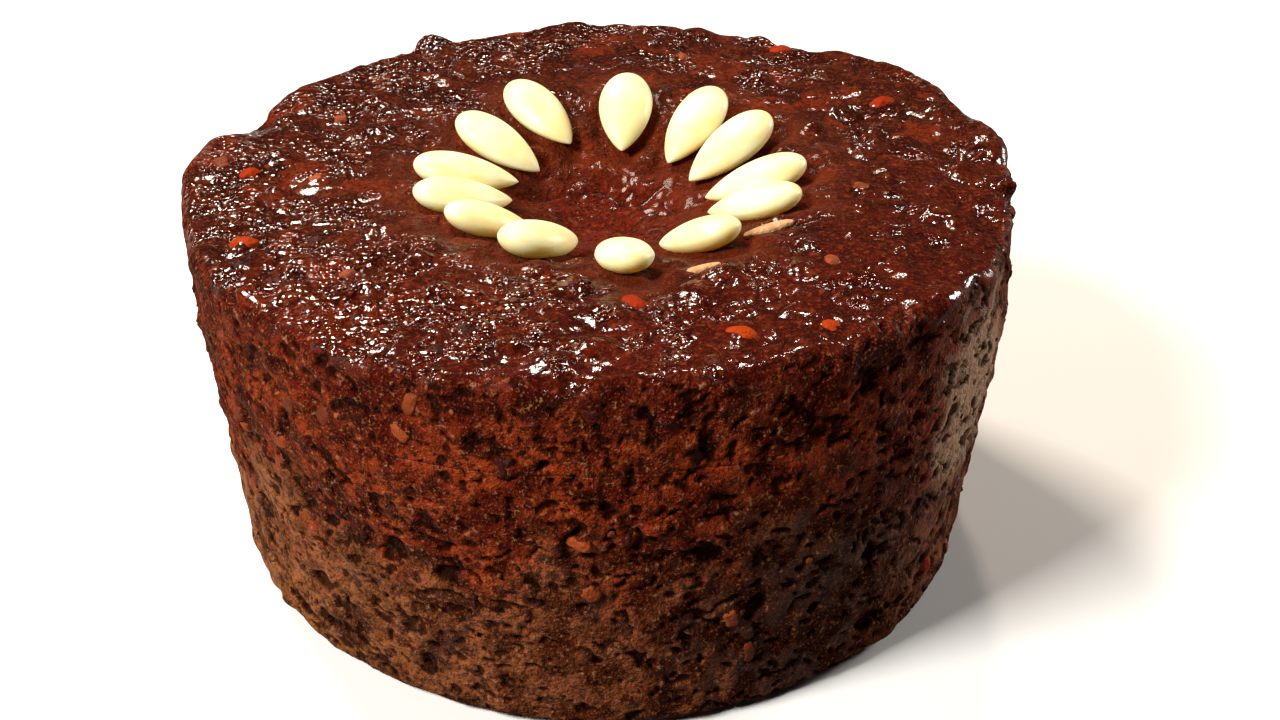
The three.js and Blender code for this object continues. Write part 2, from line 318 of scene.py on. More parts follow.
def fruit_spots():
    """The angle and distance along the skin of all the fruit that shows in the crust, by kind."""
    spots = {kind: [] for kind in FRUIT_SHARES}
    for kind, x, y in TOP_FRUIT:
        spots[kind].append((np.arctan2(y, x), np.hypot(x, y) / 1000))
    for kind, degrees, z in SIDE_FRUIT:
        spots[kind].append((radians(degrees), side_along(z / 1000)))
    shown = np.array([place for places in spots.values() for place in places])
    free = []
    for x, y, _radius, _height in top_lumps():
        from_middle = np.hypot(x - HOLLOW["x"], y - HOLLOW["y"])
        if not ALMOND_RING[0] < from_middle < ALMOND_RING[1]:
            free.append((np.arctan2(y, x), np.hypot(x, y)))
    for angle, z, _radius, _height in side_lumps():
        if FRUIT_HEIGHTS[0] < z < FRUIT_HEIGHTS[1]:
            free.append((wrapped(angle), side_along(z)))
    draw = draws(FRUIT_SEED)
    for angle, along in free:
        pick = next(draw)
        apart = np.hypot(wrapped(angle - shown[:, 0]) * TOP_RADIUS, along - shown[:, 1])
        for kind, share in FRUIT_SHARES.items():
            if 0 <= pick < share and apart.min() > BEDS_APART:
                spots[kind].append((angle, along))
            pick -= share
    return {kind: np.array(places) for kind, places in spots.items()}


FRUIT = fruit_spots()
BEDS = plain_skin(*np.vstack(list(FRUIT.values())).T)[0]


def bed_rings(points):
    """1 on a ring round every fruit, where the crust meets it, and 0 away from them."""
    ring = np.zeros(points.shape[:-1])
    for bed in BEDS:
        near = np.abs(points - bed).max(-1) < BED_RADIUS + BED_WIDTH
        apart = np.sqrt(((points[near] - bed) ** 2).sum(-1))
        ring[near] = np.maximum(ring[near], 1 - smooth(np.abs(apart - BED_RADIUS) / BED_WIDTH))
    return ring


SEEDS = {"glaze": 301, "wander": 310, "ragged": 315, "fruit": 320, "creased": 321, "grain": 331, "waves": 332,
         "granules": 333, "crowd": 340, "crevices": 350, "cracks": 351, "pits": 355, "cavities": 360,
         "crumb": 370}
GLAZE_RUN, GLAZE_UNEVEN = -0.0038, 0.0035  # measured from the foot of the rounded edge; it stops short of it
GLAZE_TONGUE, GLAZE_FADE = 0.007, 0.003
WANDER_SIZE = 0.005
FRUIT_SPACING, FRUIT_WANDER = 0.0085, 0.003  # of the fruit hidden under the glaze
CREASE_WIDTH, CREASE_DEPTH, CREASED_SIZE = 0.0014, 0.0004, 0.010
BED_CREASE = 0.4  # how dark the ring round a fruit is, as painted shade, where a crease or a hole is 1; on the top it also sinks the glaze
WAVE_SIZE, WAVE_HEIGHT = 0.0050, 0.0004
GRANULE_SIZE, GRANULE_HEIGHT, GRANULE_WANDER = 0.0026, 0.00018, 0.001
GRAIN_SIZE, GRAIN_HEIGHT = 0.0013, 0.00006


def glazed_relief(plain, wander, ring):
    """The fine relief of the top: creases where the cells of hidden fruit meet and round the fruit that
    shows, low waves, and granules. Also the draw of each cell, and how creased each point is."""
    kind, from_crease = cobbles(plain + FRUIT_WANDER * wander, FRUIT_SPACING, SEEDS["fruit"])
    creased = smooth(0.5 + cloud(plain, CREASED_SIZE, SEEDS["creased"]))
    crease = np.maximum((1 - smooth(from_crease / CREASE_WIDTH)) * creased, BED_CREASE * ring)
    granules = (GRANULE_HEIGHT * cloud(plain + GRANULE_WANDER * wander, GRANULE_SIZE, SEEDS["granules"])
                + GRAIN_HEIGHT * cloud(plain, GRAIN_SIZE, SEEDS["grain"]))
    waves = WAVE_HEIGHT * cloud(plain, WAVE_SIZE, SEEDS["waves"])
    return waves - CREASE_DEPTH * crease + granules, kind, crease


CRUMB_SQUAT = (1, 1, 1.35)  # pits and cracks are this much wider than high
CRUMB_WANDER, RAGGED_SIZE, RAGGED_WANDER = 0.0014, 0.0018, 0.0006
CROWD_SIZE = 0.014  # of the patches where the crumb is more open
CREVICE_SIZE, CRACK_SIZE, CRACK_SHARE = 0.0026, 0.0013, 0.7
CREVICE_FROM, CREVICE_CROWDED, CREVICE_FADE = 0.42, 0.35, 0.45  # how high the two clouds are where one is
CREVICE_DEPTH = 0.0007
PITS = {"spacing": 0.0046, "radius": (0.0009, 0.0020), "share": 0.05, "crowded": 0.5, "steep": 1.6}
CAVITIES = {"spacing": 0.0115, "radius": (0.0025, 0.0050), "share": 0.14, "crowded": 0.3, "steep": 1.8,
            "wander": 0.0016, "depth": 0.0014}
CRUMB_SIZE, CRUMB_HEIGHT = 0.0045, 0.0004


def crumb_relief(plain, wander, ring):
    """The fine relief of the side: crevices where two clouds together are high, small pits, large cavities,
    and beds round the fruit. Also how open the crumb is at each point."""
    ragged = bent(plain, RAGGED_SIZE, SEEDS["ragged"])
    squat = (plain + CRUMB_WANDER * wander + RAGGED_WANDER * ragged) * CRUMB_SQUAT
    crowd = 0.5 + 0.5 * cloud(plain, CROWD_SIZE, SEEDS["crowd"])
    wide, narrow = cloud(squat, CREVICE_SIZE, SEEDS["crevices"]), cloud(squat, CRACK_SIZE, SEEDS["cracks"])
    crevice = smooth((wide + CRACK_SHARE * narrow - CREVICE_FROM + CREVICE_CROWDED * crowd) / CREVICE_FADE)
    small = pits(squat, PITS["spacing"], PITS["radius"],
                 PITS["share"] + PITS["crowded"] * crowd, SEEDS["pits"])
    large = pits(squat + CAVITIES["wander"] * wander, CAVITIES["spacing"], CAVITIES["radius"],
                 CAVITIES["share"] + CAVITIES["crowded"] * crowd, SEEDS["cavities"])
    large = smooth(CAVITIES["steep"] * large)
    openness = np.maximum(np.maximum(crevice, smooth(PITS["steep"] * small)),
                          np.maximum(large, BED_CREASE * ring))
    relief = (CRUMB_HEIGHT * cloud(plain, CRUMB_SIZE, SEEDS["crumb"])
              - CREVICE_DEPTH * np.maximum(crevice, small) - CAVITIES["depth"] * large - BED_DEPTH * ring)
    return relief, openness


def skin(angle, along):
    """The finished skin: the plain skin, lifted by the solid's relief and by the fine relief. Also gives
    how glazed, open and creased each point is, how near an almond, and the draw of what lies under it."""
    plain, lifts, share = plain_skin(angle, along)
    x, y, z = np.moveaxis(plain, -1, 0)
    up = lifts[..., 2]
    sideways = np.sqrt(np.clip(1 - up**2, 0, 1))
    relief = np.zeros(angle.shape)
    on_top, on_side = up > 0, sideways > 0
    relief[on_top] += up[on_top] * top_relief(x[on_top], y[on_top])
    relief[on_side] += sideways[on_side] * side_relief(angle[on_side], z[on_side])

    past_edge = along - SIDE_FROM - GLAZE_RUN - GLAZE_UNEVEN * cloud(plain, GLAZE_TONGUE, SEEDS["glaze"])
    glaze = 1 - smooth(past_edge / GLAZE_FADE + 0.5)
    wander, ring = bent(plain, WANDER_SIZE, SEEDS["wander"]), bed_rings(plain)
    top_fine, kind, crease = glazed_relief(plain, wander, ring)
    by_almond = np.zeros(angle.shape)
    dents, by_almond[on_top] = almond_dents(plain[on_top])
    top_fine[on_top] += dents
    side_fine, openness = crumb_relief(plain, wander, ring)
    relief += glaze * top_fine + (1 - glaze) * side_fine
    fields = {"glaze": glaze, "open": (1 - glaze) * openness, "crease": glaze * crease, "kind": kind,
              "by_almond": by_almond}
    return plain + lifts * (relief * share)[..., None], fields


# ---- The crust ----------------------------------------------------------------------------------
# Dark, moist fruit cake. Its top is brushed with a glaze that ends unevenly on the rounded edge; its side
# is bare crumb that pulled away from the tin. Each piece is closed, and they meet in one outline.

TOP_CELLS = 308
SEAM_DOWN = 0.016  # how far down the side the top piece reaches
SEAM_ALONG = SIDE_FROM + SEAM_DOWN
SIDE_COLUMNS = 2 * TOP_CELLS  # in each half of the side
SIDE_ROWS = 148
UNDER_ROWS = 4


def mesh_piece(name, points, faces, flat_from=None, fields=None):
    """An object at the origin from points and arrays of faces. Faces from number flat_from on are flat."""
    mesh = bpy.data.meshes.new(name)
    sizes = np.concatenate([np.full(len(part), part.shape[1]) for part in faces])
    corners = np.concatenate([part.ravel() for part in faces]).astype(np.int32)
    mesh.vertices.add(len(points))
    mesh.vertices.foreach_set("co", np.asarray(points, np.float32).ravel())
    mesh.loops.add(len(corners))
    mesh.loops.foreach_set("vertex_index", corners)
    mesh.polygons.add(len(sizes))
    mesh.polygons.foreach_set("loop_start", (np.cumsum(sizes) - sizes).astype(np.int32))
    mesh.update(calc_edges=True)
    smooth_faces = np.ones(len(sizes), bool)
    if flat_from is not None:
        smooth_faces[flat_from:] = False
    mesh.polygons.foreach_set("use_smooth", smooth_faces)
    for field, values in (fields or {}).items():
        mesh.attributes.new(field, "FLOAT", "POINT").data.foreach_set("value", values.astype(np.float32))
    piece = bpy.data.objects.new(name, mesh)
    bpy.context.scene.collection.objects.link(piece)
    return piece


def with_middle(fields, count=1):
    """The fields with a value for each point added behind the grid, which nobody sees."""
    return {name: np.concatenate([values.ravel(), np.zeros(count)]) for name, values in fields.items()}


def top_crust():
    """The top on a square grid bent into a disc: the square's side becomes the disc's rim, and a point's
    share along its side becomes its share of that quarter turn, so that cells keep one area."""
    steps = np.linspace(-1, 1, TOP_CELLS + 1)
    v, u = np.meshgrid(steps, steps, indexing="ij")
    wide = np.abs(u) >= np.abs(v)
    far = np.where(wide, u, v)
    share = np.where(wide, v, u) / np.where(far == 0, 1, far)
    angle = np.where(wide, share * pi / 4, pi / 2 - share * pi / 4) + np.where(far < 0, pi, 0)
    points, fields = skin(angle, np.abs(far) * SEAM_ALONG)

    index = np.arange((TOP_CELLS + 1) ** 2).reshape(TOP_CELLS + 1, -1)
    quads = np.stack([index[:-1, :-1], index[:-1, 1:], index[1:, 1:], index[1:, :-1]], -1).reshape(-1, 4)
    rim = np.concatenate([index[0, :-1], index[:-1, -1], index[-1, :0:-1], index[:0:-1, 0]])
    middle = np.full(len(rim), index.size)
    wall = np.stack([np.roll(rim, -1), rim, middle], -1)
    points = np.vstack([points.reshape(-1, 3), [[0, 0, points[0, 0, 2]]]])
    return mesh_piece("glazed_top", points, [quads, wall], len(quads), with_middle(fields))


def side_crust(name, first_angle):
    """Half of the side on a grid of columns round the cake and rows down it, carried on under the base to
    its middle. The last column joins the first by a wall across the cake."""
    columns = first_angle + np.linspace(0, pi, SIDE_COLUMNS + 1)
    down = np.linspace(SEAM_ALONG, BASE_FROM + BASE_RUN, SIDE_ROWS + 1)
    narrowing = (TOP_RADIUS - BASE_RADIUS) * (1 - BASE_EDGE_ROUND / UPRIGHT_FROM)
    flat_base = TOP_RADIUS - narrowing - BASE_EDGE_ROUND
    inwards = down[-1] + flat_base * np.arange(1, UNDER_ROWS) / UNDER_ROWS
    angle, along = np.meshgrid(columns, np.concatenate([down, inwards]))
    points, fields = skin(angle, along)

    index = np.arange(angle.size).reshape(angle.shape)
    quads = np.stack([index[:-1, :-1], index[1:, :-1], index[1:, 1:], index[:-1, 1:]], -1).reshape(-1, 4)
    upper, lower = index.size, index.size + 1
    base = np.stack([index[-1, 1:], index[-1, :-1], np.full(SIDE_COLUMNS, lower)], -1)
    lid = np.stack([index[0, :-1], index[0, 1:], np.full(SIDE_COLUMNS, upper)], -1)
    wall = np.stack([index[:-1, -1], index[1:, -1], index[1:, 0], index[:-1, 0]], -1)
    ends = np.array([[index[0, -1], index[0, 0], upper], [index[-1, 0], index[-1, -1], lower]])
    points = np.vstack([points.reshape(-1, 3), [[0, 0, points[0, 0, 2]], [0, 0, 0]]])
    flat_from = len(quads) + len(base)
    return mesh_piece(name, points, [quads, base, lid, wall, ends], flat_from, with_middle(fields, 2))


def linear(hex_colour):
    """A screen colour as the renderer's own red, green and blue, with alpha 1."""
    shares = [int(hex_colour[k:k + 2], 16) / 255 for k in (0, 2, 4)]
    return [s / 12.92 if s <= 0.04045 else ((s + 0.055) / 1.055) ** 2.4 for s in shares] + [1]


class Signal:
    """A shader socket in a Python expression. Each operator adds the Math node that it stands for."""

    def __init__(self, finish, socket):
        self.finish, self.socket = finish, socket

    def math(self, operation, *values):
        return self.finish.node("Math", {"operation": operation}, dict(enumerate(values)))

    def __add__(self, other):
        return self.math("ADD", self, other)

    def __sub__(self, other):
        return self.math("SUBTRACT", self, other)

    def __rsub__(self, other):
        return self.math("SUBTRACT", other, self)

    def __mul__(self, other):
        return self.math("MULTIPLY", self, other)

    __radd__, __rmul__ = __add__, __mul__

    def step(self, low, high):
        """A soft step of the signal, from 0 at low to 1 at high."""
        return self.finish.node("MapRange", {"interpolation_type": "SMOOTHSTEP"}, {0: self, 1: low, 2: high})


class Finish:
    """A procedural material. node() adds any node by its type, settings and sockets."""

    def __init__(self, name):
        self.material = bpy.data.materials.new(name)
        self.material.use_nodes = True
        self.tree = self.material.node_tree
        self.tree.nodes.clear()
        self.place = self.node("TexCoord", output="Object")

    def node(self, kind, settings=None, sockets=None, output=0):
        made = self.tree.nodes.new("ShaderNode" + kind)
        for name, value in (settings or {}).items():
            setattr(made, name, value)
        for key, value in (sockets or {}).items():
            if isinstance(value, Signal):
                self.tree.links.new(value.socket, made.inputs[key])
            else:
                made.inputs[key].default_value = value
        return Signal(self, made.outputs[output]) if len(made.outputs) else None

    def field(self, name):
        return self.node("Attribute", {"attribute_name": name}, output="Fac")

    def axis(self, name):
        return self.node("SeparateXYZ", {}, {0: self.place}, name)

    def noise(self, size, detail=2):
        """Noise whose blobs are about size across, in metres. It lies mostly between 0.3 and 0.7."""
        return self.node("TexNoise", {}, {"Vector": self.place, "Scale": 1 / size, "Detail": detail}, "Fac")

    def cells(self, spacing):
        """How far each point is from the nearest of many scattered middles, counting their spacing as 1."""
        return self.node("TexVoronoi", {}, {"Vector": self.place, "Scale": 1 / spacing}, "Distance")

    def distance(self, middle, stretch=(1, 1, 1)):
        """How far each point is from a middle, with each axis multiplied by its stretch."""
        apart = self.node("VectorMath", {"operation": "SUBTRACT"}, {0: self.place, 1: middle})
        apart = self.node("VectorMath", {"operation": "MULTIPLY"}, {0: apart, 1: stretch})
        return self.node("VectorMath", {"operation": "LENGTH"}, {0: apart}, "Value")

    def mix(self, share, first, second):
        """A blend of two colours."""
        return self.node("Mix", {"data_type": "RGBA"}, {0: share, 6: first, 7: second}, 2)

    def layered(self, colour, layers):
        """A colour with others laid over it in turn, each as far as its mask times its share."""
        for mask, share, over in layers:
            colour = self.mix(mask * share, colour, linear(over))
        return colour

    def bump(self, height, depth, strength=1.0):
        return self.node("Bump", {}, {"Height": height, "Distance": depth, "Strength": strength}, "Normal")

    def shader(self, **sockets):
        """The shader of a surface, from its sockets with spaces as underscores."""
        named = {key.replace("_", " "): value for key, value in sockets.items()}
        return self.node("BsdfPrincipled", {}, named, "BSDF")

    def finished(self, shader):
        """The material, with the shader as its surface."""
        self.node("OutputMaterial", {}, {"Surface": shader})
        return self.material


# The crust's noises, from broad patches to grain: blob size in metres and how many finer layers each has.
CRUST_NOISES = {"broad": (0.018, 3), "patchy": (0.007, 3), "mottle": (0.0026, 3), "speckle": (0.0012, 2),
                "grain": (0.0005, 2)}
PAINTED_SHEEN_PATCH, PAINTED_SHEEN_REACH = (0.0765, -0.0470, 0.057), (0.020, 0.010)  # painted sheen: a pale patch standing for light reflected off crust that the tin pressed smooth
PAINTED_SHEEN_STRETCH = (1, 1, 0.7)
PAINTED_SHADE_PATCH, PAINTED_SHADE_REACH = (0.043, -0.072, 0.026), (0.044, 0.015)  # painted shade: a dark patch low on the right, where the side lies in shadow
PATCH_UNEVEN = 0.02
LOW_CRUMB, LOW_UNEVEN = (0.056, 0.030), 0.07  # heights between which the crumb turns paler and browner
STAINED, STAIN_UNEVEN = (0.070, 0.084), 0.02  # heights between which the glaze has stained it
PAINTED_LIGHT_SIDE = (0.0, -0.07)  # across the cake, towards its left side, where light is painted on the low crumb as a paler tan
FRUITY_SIZE = 0.011


def crumb_colour(finish, noises, low):
    """The bare crumb: rusty, and browner low down; painted paler on its lit left side, stained below the
    glaze, fruity in patches, with painted shade low on the right and a painted sheen in a pale patch;
    mottled, pored and flecked; and painted dark as shade in its holes."""
    patchy, mottle, speckle, grain = (noises[name] for name in ("patchy", "mottle", "speckle", "grain"))
    rusty = finish.mix(patchy.step(0.38, 0.62), linear("541407"), linear("8a300e"))
    brown = finish.mix(patchy.step(0.40, 0.60), linear("48220e"), linear("864a26"))
    stained = (finish.axis("Z") + (noises["broad"] - 0.5) * STAIN_UNEVEN).step(*STAINED)
    painted_shade = (finish.distance(PAINTED_SHADE_PATCH) + (patchy - 0.5) * PATCH_UNEVEN).step(*PAINTED_SHADE_REACH)
    pressed_sheen = (finish.distance(PAINTED_SHEEN_PATCH, PAINTED_SHEEN_STRETCH) + (patchy - 0.5) * PATCH_UNEVEN).step(*PAINTED_SHEEN_REACH)
    return finish.layered(finish.mix(low * 0.75, rusty, brown), [
        # painted light: the low crumb is paler towards the lit left side
        (low * finish.axis("X").step(*PAINTED_LIGHT_SIDE), 0.35, "a86a3c"),
        (stained, 0.7, "480d06"),
        # painted shade: darker low on the right, where the side is in shadow
        (painted_shade, 0.8, "300c05"),
        (finish.noise(FRUITY_SIZE, 3).step(0.55, 0.62), 0.8, "300602"),
        (mottle.step(0.49, 0.38), 0.8, "2c0502"),
        (speckle.step(0.44, 0.34), 0.7, "1a0301"),
        (grain.step(0.55, 0.70), 0.35, "b4703c"),
        (speckle.step(0.60, 0.72), 0.6, "a8744c"),
        # painted sheen: a pale patch where the pressed crust reflects light
        (pressed_sheen, 0.85, "b89478"),
        # painted shade: near black in the holes, crevices and rings round the fruit
        (finish.field("open").step(0.15, 0.85), 0.85, "140301"),
    ])


def glaze_colour(finish, noises, sunk):
    """The brushed glaze: nearly black to brown, redder over some of the hidden fruit, in front and in the
    hollow; mottled and speckled; darkened with painted shade in its creases and round its fruit, and thinner
    beside the almonds."""
    patchy, mottle, speckle, grain = (noises[name] for name in ("patchy", "mottle", "speckle", "grain"))
    in_front = (finish.axis("Y") - finish.axis("X") * 0.5).step(0.0, -0.07)
    return finish.layered(finish.mix(patchy.step(0.35, 0.7), linear("2e0a04"), linear("521e0c")), [
        (finish.field("kind").step(0.30, 0.22), 0.6, "722408"),
        (in_front, 0.7, "440a02"),
        (sunk, 0.8, "5a1002"),
        (mottle.step(0.52, 0.40), 0.5, "240603"),
        (speckle.step(0.46, 0.36), 0.6, "200402"),
        (speckle.step(0.56, 0.68), 0.5, "80381c"),
        # painted shade: darker in the creases and the rings round the fruit
        (finish.field("crease"), 0.7, "1a0402"),
        (finish.field("by_almond"), 0.5, "62240d"),
        (grain.step(0.55, 0.70), 0.4, "883c1a"),
    ])


BEAD_SPACING, DROP_SPACING = 0.0018, 0.0030  # of the glaze's beads, and of its drops where it is thick
DROP_STEEP = 1.3
THICK_SIZE, CLUSTER_SIZE = 0.011, 0.006  # of the patches of thick glaze, and of the clusters of beads
WET_RIM, WET_REACH = (-0.042, -0.069, HEIGHT), (0.030, 0.010)  # where the glaze is wettest


def glaze_beads(finish, noises, sunk):
    """How the wet glaze stands up: domes that fall off as the square of the distance from their middles,
    wide where it is thick, and faint ripples between the clusters of domes. Gives how clustered the domes
    are, more so at the left, at the back and at the wet rim, and the height."""
    speckle, across, back = noises["speckle"], finish.axis("X"), finish.axis("Y")
    beads, drops = finish.cells(BEAD_SPACING), finish.cells(DROP_SPACING)
    thick = (finish.noise(THICK_SIZE) + (across + back).step(0.0, -0.10) * 0.12).step(0.55, 0.62)
    clustered = finish.noise(CLUSTER_SIZE) + (noises["broad"] - 0.5) * 0.9 - across * 1.2 - sunk * 0.2
    clustered = clustered + (across + back).step(-0.02, -0.10) * 0.03 + back.step(0.04, 0.08) * 0.07
    clustered = (clustered + finish.distance(WET_RIM).step(*WET_REACH) * 0.08).step(0.54, 0.62)
    domes = 1 - beads * beads * (1 - thick) - drops * drops * DROP_STEEP * thick
    height = (0.05 + 0.95 * clustered) * (domes + noises["grain"] * 0.04)
    return clustered, height + speckle * (1 - clustered) * (1 - sunk * 0.7) * 0.12


SUNK = (0.082, 0.074)  # heights between which the top sinks into the hollow
HOLLOW_MIDDLE = (HOLLOW["x"], HOLLOW["y"], HEIGHT)
RING_REACH = (0.056, 0.044)  # how far from the middle the smoother glaze round the almonds ends
CRUMB_BUMP, BEAD_BUMP = 0.0008, 0.001


def crust_finish():
    """Crumb and glaze in one finish, told apart by the glaze field: a dull shader, and over it a wet one
    wherever the glaze is thick enough to shine."""
    finish = Finish("crust")
    noises = {name: finish.noise(*size_and_detail) for name, size_and_detail in CRUST_NOISES.items()}
    glaze, openness, by_almond = finish.field("glaze"), finish.field("open"), finish.field("by_almond")
    low = (finish.axis("Z") + (noises["broad"] - 0.5) * LOW_UNEVEN).step(*LOW_CRUMB)
    sunk = finish.axis("Z").step(*SUNK)
    crumb, brushed = crumb_colour(finish, noises, low), glaze_colour(finish, noises, sunk)

    rough = noises["mottle"] + noises["speckle"] * 1.2 + noises["grain"] * 0.5
    pressed_sheen = noises["patchy"].step(0.42, 0.58) * (0.3 + 0.7 * low) * (1 - openness) * (1 - by_almond)
    pressed_sheen = pressed_sheen * (1 - glaze * 0.7)
    dull = finish.shader(
        Base_Color=finish.mix(glaze, crumb, brushed), Roughness=0.8, Specular_IOR_Level=0.03,
        Coat_Weight=pressed_sheen * 0.3, Coat_Roughness=0.4, Sheen_Weight=0.04, Sheen_Roughness=0.35,
        Sheen_Tint=linear("e8c8a8"), Normal=finish.bump(rough, CRUMB_BUMP))

    clustered, height = glaze_beads(finish, noises, sunk)
    wet = finish.shader(Base_Color=brushed, Roughness=0.10, Specular_IOR_Level=0.75,
                        Normal=finish.bump(height, BEAD_BUMP))
    dry = (1 - clustered) * (0.35 + 0.4 * finish.distance(HOLLOW_MIDDLE).step(*RING_REACH))
    wetness = glaze * (1 - by_almond * 0.95) * (1 - sunk * 0.4) * (1 - dry)
    return finish.finished(finish.node("MixShader", {}, {0: wetness, 1: dull, 2: wet}))


crust_material = crust_finish()
for crust in (top_crust(), side_crust("crumb_side_back", 0), side_crust("crumb_side_front", pi)):
    crust.data.materials.append(crust_material)
    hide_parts("cake")
    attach(crust, "root")

# ---- Almonds ------------------------------------------------------------------------------------
# Thirteen whole almonds, blanched so that their skins are off, pressed into the hollow in a ring with
# their tips towards its middle. They are smooth and ivory, with a faint seam along each edge.

ALMOND_ROWS, ALMOND_SIDES = 56, 44
ALMOND_BLUNT, ALMOND_POINT = 0.5, 0.78  # how round the outer end is, and how sharp the tip
GROOVE_DEPTH, GROOVE_SCALE = 0.010, (0.5, 3.2, 3.2)  # grooves are long, and narrow across
EDGE_SEAM, EDGE_SEAM_WIDTH = 0.022, 0.16
ALMOND_SEED, ALMONDS_APART = 400, 7  # of the cloud that grooves them
ALMOND_GLOW = (0.006, 0.0045, 0.0025)  # how far red, green and blue light travels inside


def almond(node, number):
    """An almond from its blunt end to its tip. Its half width at a share s of its length is s to the
    blunt power times 1 - s to the point power, with the widest set to 1; faint grooves run along it, and
    a low seam stands where its halves meet."""
    middle, half, axes = ALMONDS[node]
    share = (1 - np.cos(np.linspace(0, pi, ALMOND_ROWS + 2)[1:-1])) / 2
    station = share**ALMOND_BLUNT * (1 - share) ** ALMOND_POINT
    station = (station / station.max())[:, None]
    turn = np.linspace(0, 2 * pi, ALMOND_SIDES, endpoint=False)[None, :]
    along = np.broadcast_to(1 - 2 * share[:, None], (ALMOND_ROWS, ALMOND_SIDES))
    ball = np.stack([along, station * np.cos(turn), station * np.sin(turn)], -1)
    grooves = GROOVE_DEPTH * cloud(ball * GROOVE_SCALE + ALMONDS_APART * number, 1.0, ALMOND_SEED) * station
    seam = EDGE_SEAM * bell(np.sin(turn), 0, EDGE_SEAM_WIDTH) * station
    ball = ball * (1 + (grooves + seam)[..., None] * (0, 1, 1))
    rows = np.vstack([ball.reshape(-1, 3), [[1, 0, 0], [-1, 0, 0]]])
    points = middle + (rows * half) @ axes
    index = np.arange(ALMOND_ROWS * ALMOND_SIDES).reshape(ALMOND_ROWS, ALMOND_SIDES)
    after = np.roll(index, -1, axis=1)
    quads = np.stack([index[:-1], after[:-1], after[1:], index[1:]], -1).reshape(-1, 4)
    blunt, tip = index.size, index.size + 1
    caps = [np.stack([after[0], index[0], np.full(ALMOND_SIDES, blunt)], -1),
            np.stack([index[-1], after[-1], np.full(ALMOND_SIDES, tip)], -1)]
    return mesh_piece(node.replace("almond", "blanched_almond"), points, [quads, *caps])


def almond_finish():
    finish = Finish("blanched_almond")
    cream = finish.mix(finish.noise(0.007).step(0.35, 0.7), linear("ffe6a4"), linear("fff4c2"))
    return finish.finished(finish.shader(
        Base_Color=cream, Roughness=0.38 + 0.12 * finish.noise(0.002), Subsurface_Weight=0.6,
        Subsurface_Radius=ALMOND_GLOW, Subsurface_Scale=1.0,
        Normal=finish.bump(finish.noise(0.0012, 3), 0.00012, 0.5)))


almond_material = almond_finish()
for number, node in enumerate(ALMOND_NODES):
    nut = almond(node, number)
    nut.data.materials.append(almond_material)
    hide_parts(node)
    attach(nut, "root")

# ---- Fruit, nuts and crumbs ---------------------------------------------------------------------
# What shows in the crust: wrinkled raisins, cubes of candied peel, cherry halves and slivers of nut, sunk
# in their beds so that only their faces stand out, and loose crumbs. Each kind is one joined mesh.

SEAT_REACH = 0.0015
FRUIT_FORMS = {  # half sizes in mm, how far it stands out in mm, squareness, wrinkles, rows and sides
    "raisins": {"half": ((2.0, 3.6), (1.6, 2.5), (1.2, 1.8)), "proud": (0.1, 0.35), "square": 1.0,
                "wrinkle": 0.30, "folds": 2.6, "grid": (14, 18)},
    "candied_peel": {"half": ((1.5, 2.8), (1.2, 1.9), (1.0, 1.4)), "proud": (0.25, 0.5), "square": 0.6,
                     "wrinkle": 0.12, "folds": 1.6, "grid": (14, 18)},
    "cherries": {"half": ((2.6, 3.6), (2.2, 3.0), (1.6, 2.0)), "proud": (0.5, 0.8), "square": 1.0,
                 "wrinkle": 0.12, "folds": 1.2, "grid": (16, 22)},
    "nut_slivers": {"half": ((2.0, 3.8), (0.8, 1.4), (0.7, 1.0)), "proud": (0.2, 0.4), "square": 0.7,
                    "wrinkle": 0.08, "folds": 1.4, "grid": (12, 16)},
    "crumbs": {"half": ((0.4, 1.0), (0.3, 0.8), (0.3, 0.7)), "proud": (0.2, 0.5), "square": 0.8,
               "wrinkle": 0.35, "folds": 2.2, "grid": (7, 9)},
}
STUD_SEED, STUD_SEEDS_APART = 500, 20
STUDS_APART = 17.3  # in the cloud that wrinkles them
CRUMB_COUNT, CRUMB_SEED = 260, 59


def seats(spots):
    """Where each spot lies on the finished skin, and the directions there: round the cake, down along the
    skin, and outwards."""
    angle, along = spots.T
    reach = SEAT_REACH / np.maximum(np.hypot(*plain_skin(angle, along)[0][:, :2].T), SEAT_REACH)
    left, right = skin(angle - reach, along)[0], skin(angle + reach, along)[0]
    above, below = skin(angle, along - SEAT_REACH)[0], skin(angle, along + SEAT_REACH)[0]
    around, out = right - left, np.cross(below - above, right - left)
    around /= np.linalg.norm(around, axis=1)[:, None]
    out /= np.linalg.norm(out, axis=1)[:, None]
    return (left + right + above + below) / 4, around, np.cross(around, out), out


def ball_grid(rows, sides, square):
    """A closed ball from pole to pole. Each coordinate of the round ball keeps its sign and is raised to the
    power square: 1 leaves it round and less makes it boxy."""
    fall = np.linspace(0, pi, rows + 2)[1:-1, None]
    turn = np.linspace(0, 2 * pi, sides, endpoint=False)[None, :]
    coordinates = np.broadcast_arrays(np.sin(fall) * np.cos(turn), np.sin(fall) * np.sin(turn), np.cos(fall))
    points = np.vstack([np.stack(coordinates, -1).reshape(-1, 3), [[0, 0, 1], [0, 0, -1]]])
    index = np.arange(rows * sides).reshape(rows, sides)
    after = np.roll(index, -1, axis=1)
    quads = np.stack([index[:-1], index[1:], after[1:], after[:-1]], -1).reshape(-1, 4)
    caps = [np.stack([index[0], after[0], np.full(sides, index.size)], -1),
            np.stack([after[-1], index[-1], np.full(sides, index.size + 1)], -1)]
    return np.sign(points) * np.abs(points) ** square, [quads, *caps]


